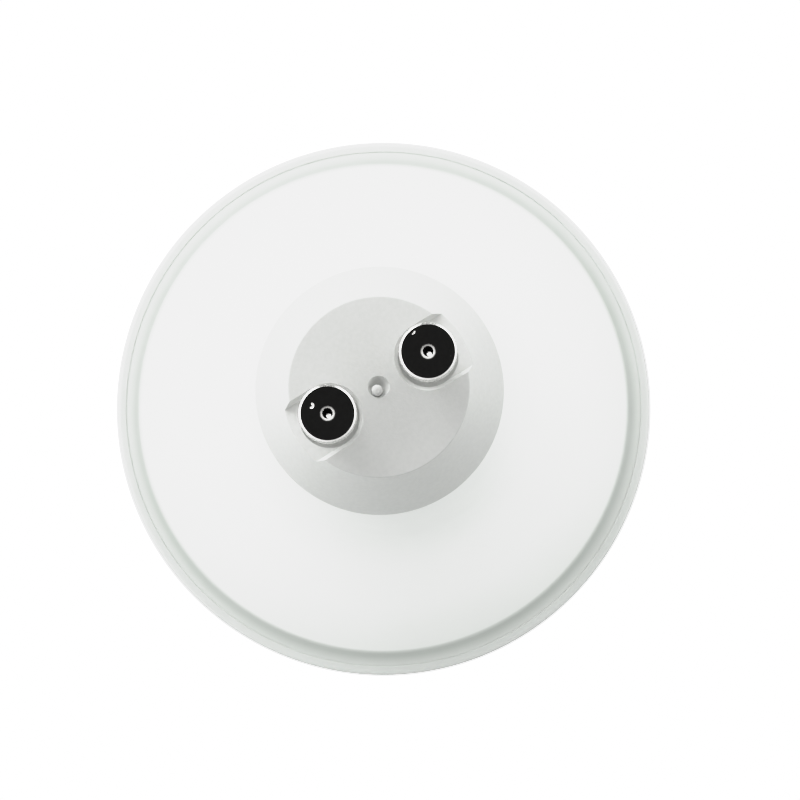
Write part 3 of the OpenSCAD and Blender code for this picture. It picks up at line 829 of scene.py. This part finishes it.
def make_pin(side, name, dents):
    """Turned pin: crescent-shaped marks on its end, and the slanted end of the core in its centre hole."""
    edge = HEAD_R - HEAD_CHAMFER
    dish = 0.72
    flat_steps = 48
    flat = [(edge + (dish - edge) * k / flat_steps, PIN_END) for k in range(1, flat_steps)]
    floor = PIN_END - HOLE_DEPTH
    profile = rounded([
        (PIN_BORE_R, PIN_ROOT), (2.2, PIN_ROOT, 0.1), (2.2, PIN_ROOT + 0.9, 0.1),
        (PIN_NECK_R, PIN_ROOT + 0.9), (PIN_NECK_R, PIN_END - HEAD_H, 0.15),
        (HEAD_R, PIN_END - HEAD_H, 0.2), (HEAD_R, PIN_END - 0.5, 0.2), (HEAD_R - 0.05, PIN_END - 0.14, 0.06),
        (edge, PIN_END, 0.02), *flat, (dish, PIN_END), (PIN_BORE_R, PIN_END - 0.06, 0.02),
        (PIN_BORE_R, floor, 0.05), (0, floor - 0.05),
        (0, BORE_TOP), (PIN_BORE_R, BORE_TOP),
    ], 4)
    bm = revolve(profile)
    for vert in bm.verts:
        if vert.co.z / MM > PIN_END - 0.001:
            place = vert.co / MM
            seen = (place.xy.dot(view_right.xy), place.xy.dot(view_up.xy))
            vert.co.z -= dent_depth(seen, dents) * MM
    spot = 0.1 * view_right - 0.19 * view_up
    bright = flat_direction(BRIGHT_SIDE)
    core_r = 0.2
    turn = [Vector((core_r * cosd(a), core_r * sind(a), 0)) for a in range(0, 360, 10)]
    heights = [floor - 0.02 for _ in turn], [floor + 0.55 - 0.4 * p.dot(bright) for p in turn]
    core = loft([[(spot.x + p.x, spot.y + p.y, z) for p, z in zip(turn, row)] for row in heights])
    bm = join(bm, core)
    bmesh.ops.translate(bm, verts=bm.verts, vec=(side * PIN_X * MM, 0, 0))
    return finish_piece(f"contact_pin_{name}_turned", bm, "pin_metal", [f"contact_pin_{name}"], 25)


def make_cores():
    """Bare strands of each lead, twisted into one core, up the pin's bore."""
    parts = []
    low, high = box_mm("lead_cores")
    for side in (-1, 1):
        loops = []
        for i in range(41):
            t = i / 40
            twist = 70 * t
            blunt = math.sqrt(max(0.0, 1 - max(0.0, t * 1.06 - 0.97) ** 2 / 0.0081)) if t > 0.9 else 1.0
            loop = []
            for k in range(42):
                a = 360 * k / 42
                r = (0.335 + 0.04 * abs(cosd(3.5 * (a + 6 * twist)))) * (0.15 + 0.85 * blunt)
                loop.append((side * PIN_X + r * cosd(a), r * sind(a), low.z + (high.z - low.z) * t))
            loops.append(loop)
        parts.append(loft(loops))
    return finish_piece("lead_cores_twisted", join(*parts), "solder_tin", ["lead_cores"], 60)


make_pin(-1, "left", DENTS["left"])
make_pin(1, "right", DENTS["right"])
make_cores()


# ---------------------------------------------------------------------------
# Pieces whose CAD shape stays: they get their material
# ---------------------------------------------------------------------------
REDRAWN = {
    "housing", "base_cap", "front_ring", "diffuser", "reflector",
    "contact_pin_left", "contact_pin_right", "lead_cores",
}
for part in frame["record"]["subparts"]:
    if part["node"] not in REDRAWN:
        piece = frame["nodes"][part["node"]]
        if not piece.material_slots:
            piece.data.materials.append(None)
        for place in piece.material_slots:
            place.material = MATERIALS[part["material_slot"]]


# ---------------------------------------------------------------------------
# Studio
# ---------------------------------------------------------------------------
WHITE = 3.5                   # level that shows as pure white
# Light level and the tone that it is shown at
TONES = ((0.3, 0.3), (0.6, 0.6), (0.8, 0.765), (0.95, 0.825), (1.15, 0.853), (1.5, 0.872), (2.6, 0.895))


def make_floor():
    """Floor that shows pure white to the camera but bounces only as much light as a light grey one."""
    bm = bmesh.new()
    bmesh.ops.create_circle(bm, cap_ends=True, segments=128, radius=3.0)
    mesh = bpy.data.meshes.new("floor")
    bm.to_mesh(mesh)
    bm.free()
    s = Surface("floor_white", specular=0.0)
    s.colours(s.noise(60.0), (0.30, 0.32, 0.31), (0.32, 0.34, 0.33))
    s.bsdf.inputs["Roughness"].default_value = 0.9
    glow = s.node("ShaderNodeEmission")
    glow.inputs["Strength"].default_value = WHITE
    ray = s.node("ShaderNodeLightPath")
    pick = s.node("ShaderNodeMixShader")
    s.link(ray.outputs["Is Camera Ray"], pick.inputs["Fac"])
    s.link(s.bsdf.outputs["BSDF"], pick.inputs[1])
    s.link(glow.outputs["Emission"], pick.inputs[2])
    s.link(pick.outputs["Shader"], s.output.inputs["Surface"])
    mesh.materials.append(s.material)
    floor = bpy.data.objects.new("floor", mesh)
    floor.location.z = -0.05 * MM
    bpy.context.scene.collection.objects.link(floor)


# Height of a direction, from 0 at the horizon to 1 overhead, and the share of light from there
SKY = ((0.0, 0.8), (0.1, 1.0), (0.3, 1.0), (0.5, 0.75), (0.75, 0.4), (0.88, 0.2), (0.94, 0.004))
SKY_LEVEL = 4.2
BRIGHT_SHARE = 0.74           # how much more light comes from the bright side, and less from the other
DARK_SIDE = 91                # middle of the dark gap, in degrees round the picture from its right


def make_world():
    """Soft light from all round under a dark ceiling, with one dark gap towards a side."""
    world = bpy.data.worlds.new("studio")
    bpy.context.scene.world = world
    world.use_nodes = True
    tree = world.node_tree
    tree.nodes.clear()

    def node(kind, **settings):
        made = tree.nodes.new(kind)
        for key, value in settings.items():
            setattr(made, key, value)
        return made

    place = node("ShaderNodeTexCoord").outputs["Generated"]

    def by_side(angle, low, high, out_low, out_high):
        """Level that follows how closely a direction points to one side."""
        across = node("ShaderNodeVectorMath", operation="DOT_PRODUCT")
        across.inputs[1].default_value = flat_direction(angle)
        tree.links.new(place, across.inputs[0])
        level = node("ShaderNodeMapRange")
        for key, number in (("From Min", low), ("From Max", high), ("To Min", out_low), ("To Max", out_high)):
            level.inputs[key].default_value = number
        tree.links.new(across.outputs["Value"], level.inputs["Value"])
        return level.outputs["Result"]

    def times(a, b):
        product = node("ShaderNodeMath", operation="MULTIPLY")
        tree.links.new(a, product.inputs[0])
        tree.links.new(b, product.inputs[1])
        return product.outputs["Value"]

    split = node("ShaderNodeSeparateXYZ")
    ramp = node("ShaderNodeValToRGB")
    tree.links.new(place, split.inputs["Vector"])
    tree.links.new(split.outputs["Z"], ramp.inputs["Fac"])
    stops = ramp.color_ramp.elements
    stops[0].position, stops[0].color = SKY[0][0], (SKY[0][1],) * 3 + (1,)
    stops[1].position, stops[1].color = SKY[-1][0], (SKY[-1][1],) * 3 + (1,)
    for height, level in SKY[1:-1]:
        stops.new(height).color = (level, level, level, 1)
    lobe = by_side(
        BRIGHT_SIDE, -1.0, 1.0, SKY_LEVEL * (1 - BRIGHT_SHARE), SKY_LEVEL * (1 + BRIGHT_SHARE)
    )
    gap = by_side(DARK_SIDE, 0.9, 0.96, 1.0, 0.06)
    light = node("ShaderNodeBackground")
    tree.links.new(times(times(ramp.outputs["Color"], lobe), gap), light.inputs["Strength"])
    white = node("ShaderNodeBackground")
    white.inputs["Strength"].default_value = WHITE
    ray = node("ShaderNodeLightPath")
    pick = node("ShaderNodeMixShader")
    output = node("ShaderNodeOutputWorld")
    tree.links.new(ray.outputs["Is Camera Ray"], pick.inputs["Fac"])
    tree.links.new(light.outputs["Background"], pick.inputs[1])
    tree.links.new(white.outputs["Background"], pick.inputs[2])
    tree.links.new(pick.outputs["Shader"], output.inputs["Surface"])


def make_softbox(name, side, height, distance, size, power):
    """Area light that looks at the lamp from a side, in degrees round the picture from its right."""
    away = flat_direction(side) * cosd(height) + Vector((0, 0, sind(height)))
    data = bpy.data.lights.new(name, "AREA")
    data.shape = "DISK"
    data.size = size
    data.energy = power
    lamp = bpy.data.objects.new(name, data)
    lamp.location = away * distance + Vector((0, 0, 0.03))
    lamp.rotation_euler = away.to_track_quat("Z", "Y").to_euler()
    bpy.context.scene.collection.objects.link(lamp)


make_floor()
make_world()
make_softbox("key", 125, 27, 0.7, 0.3, 1.6)


def make_tones():
    """Tones that stay true up to a light grey and flatten out in the whites."""
    view = bpy.context.scene.view_settings
    view.view_transform = "Standard"
    view.use_curve_mapping = True
    mapping = view.curve_mapping
    mapping.white_level = (WHITE,) * 3
    curve = mapping.curves[3]
    for level, shown in TONES:
        curve.points.new(level / WHITE, shown).handle_type = "AUTO_CLAMPED"
    mapping.update()


make_tones()
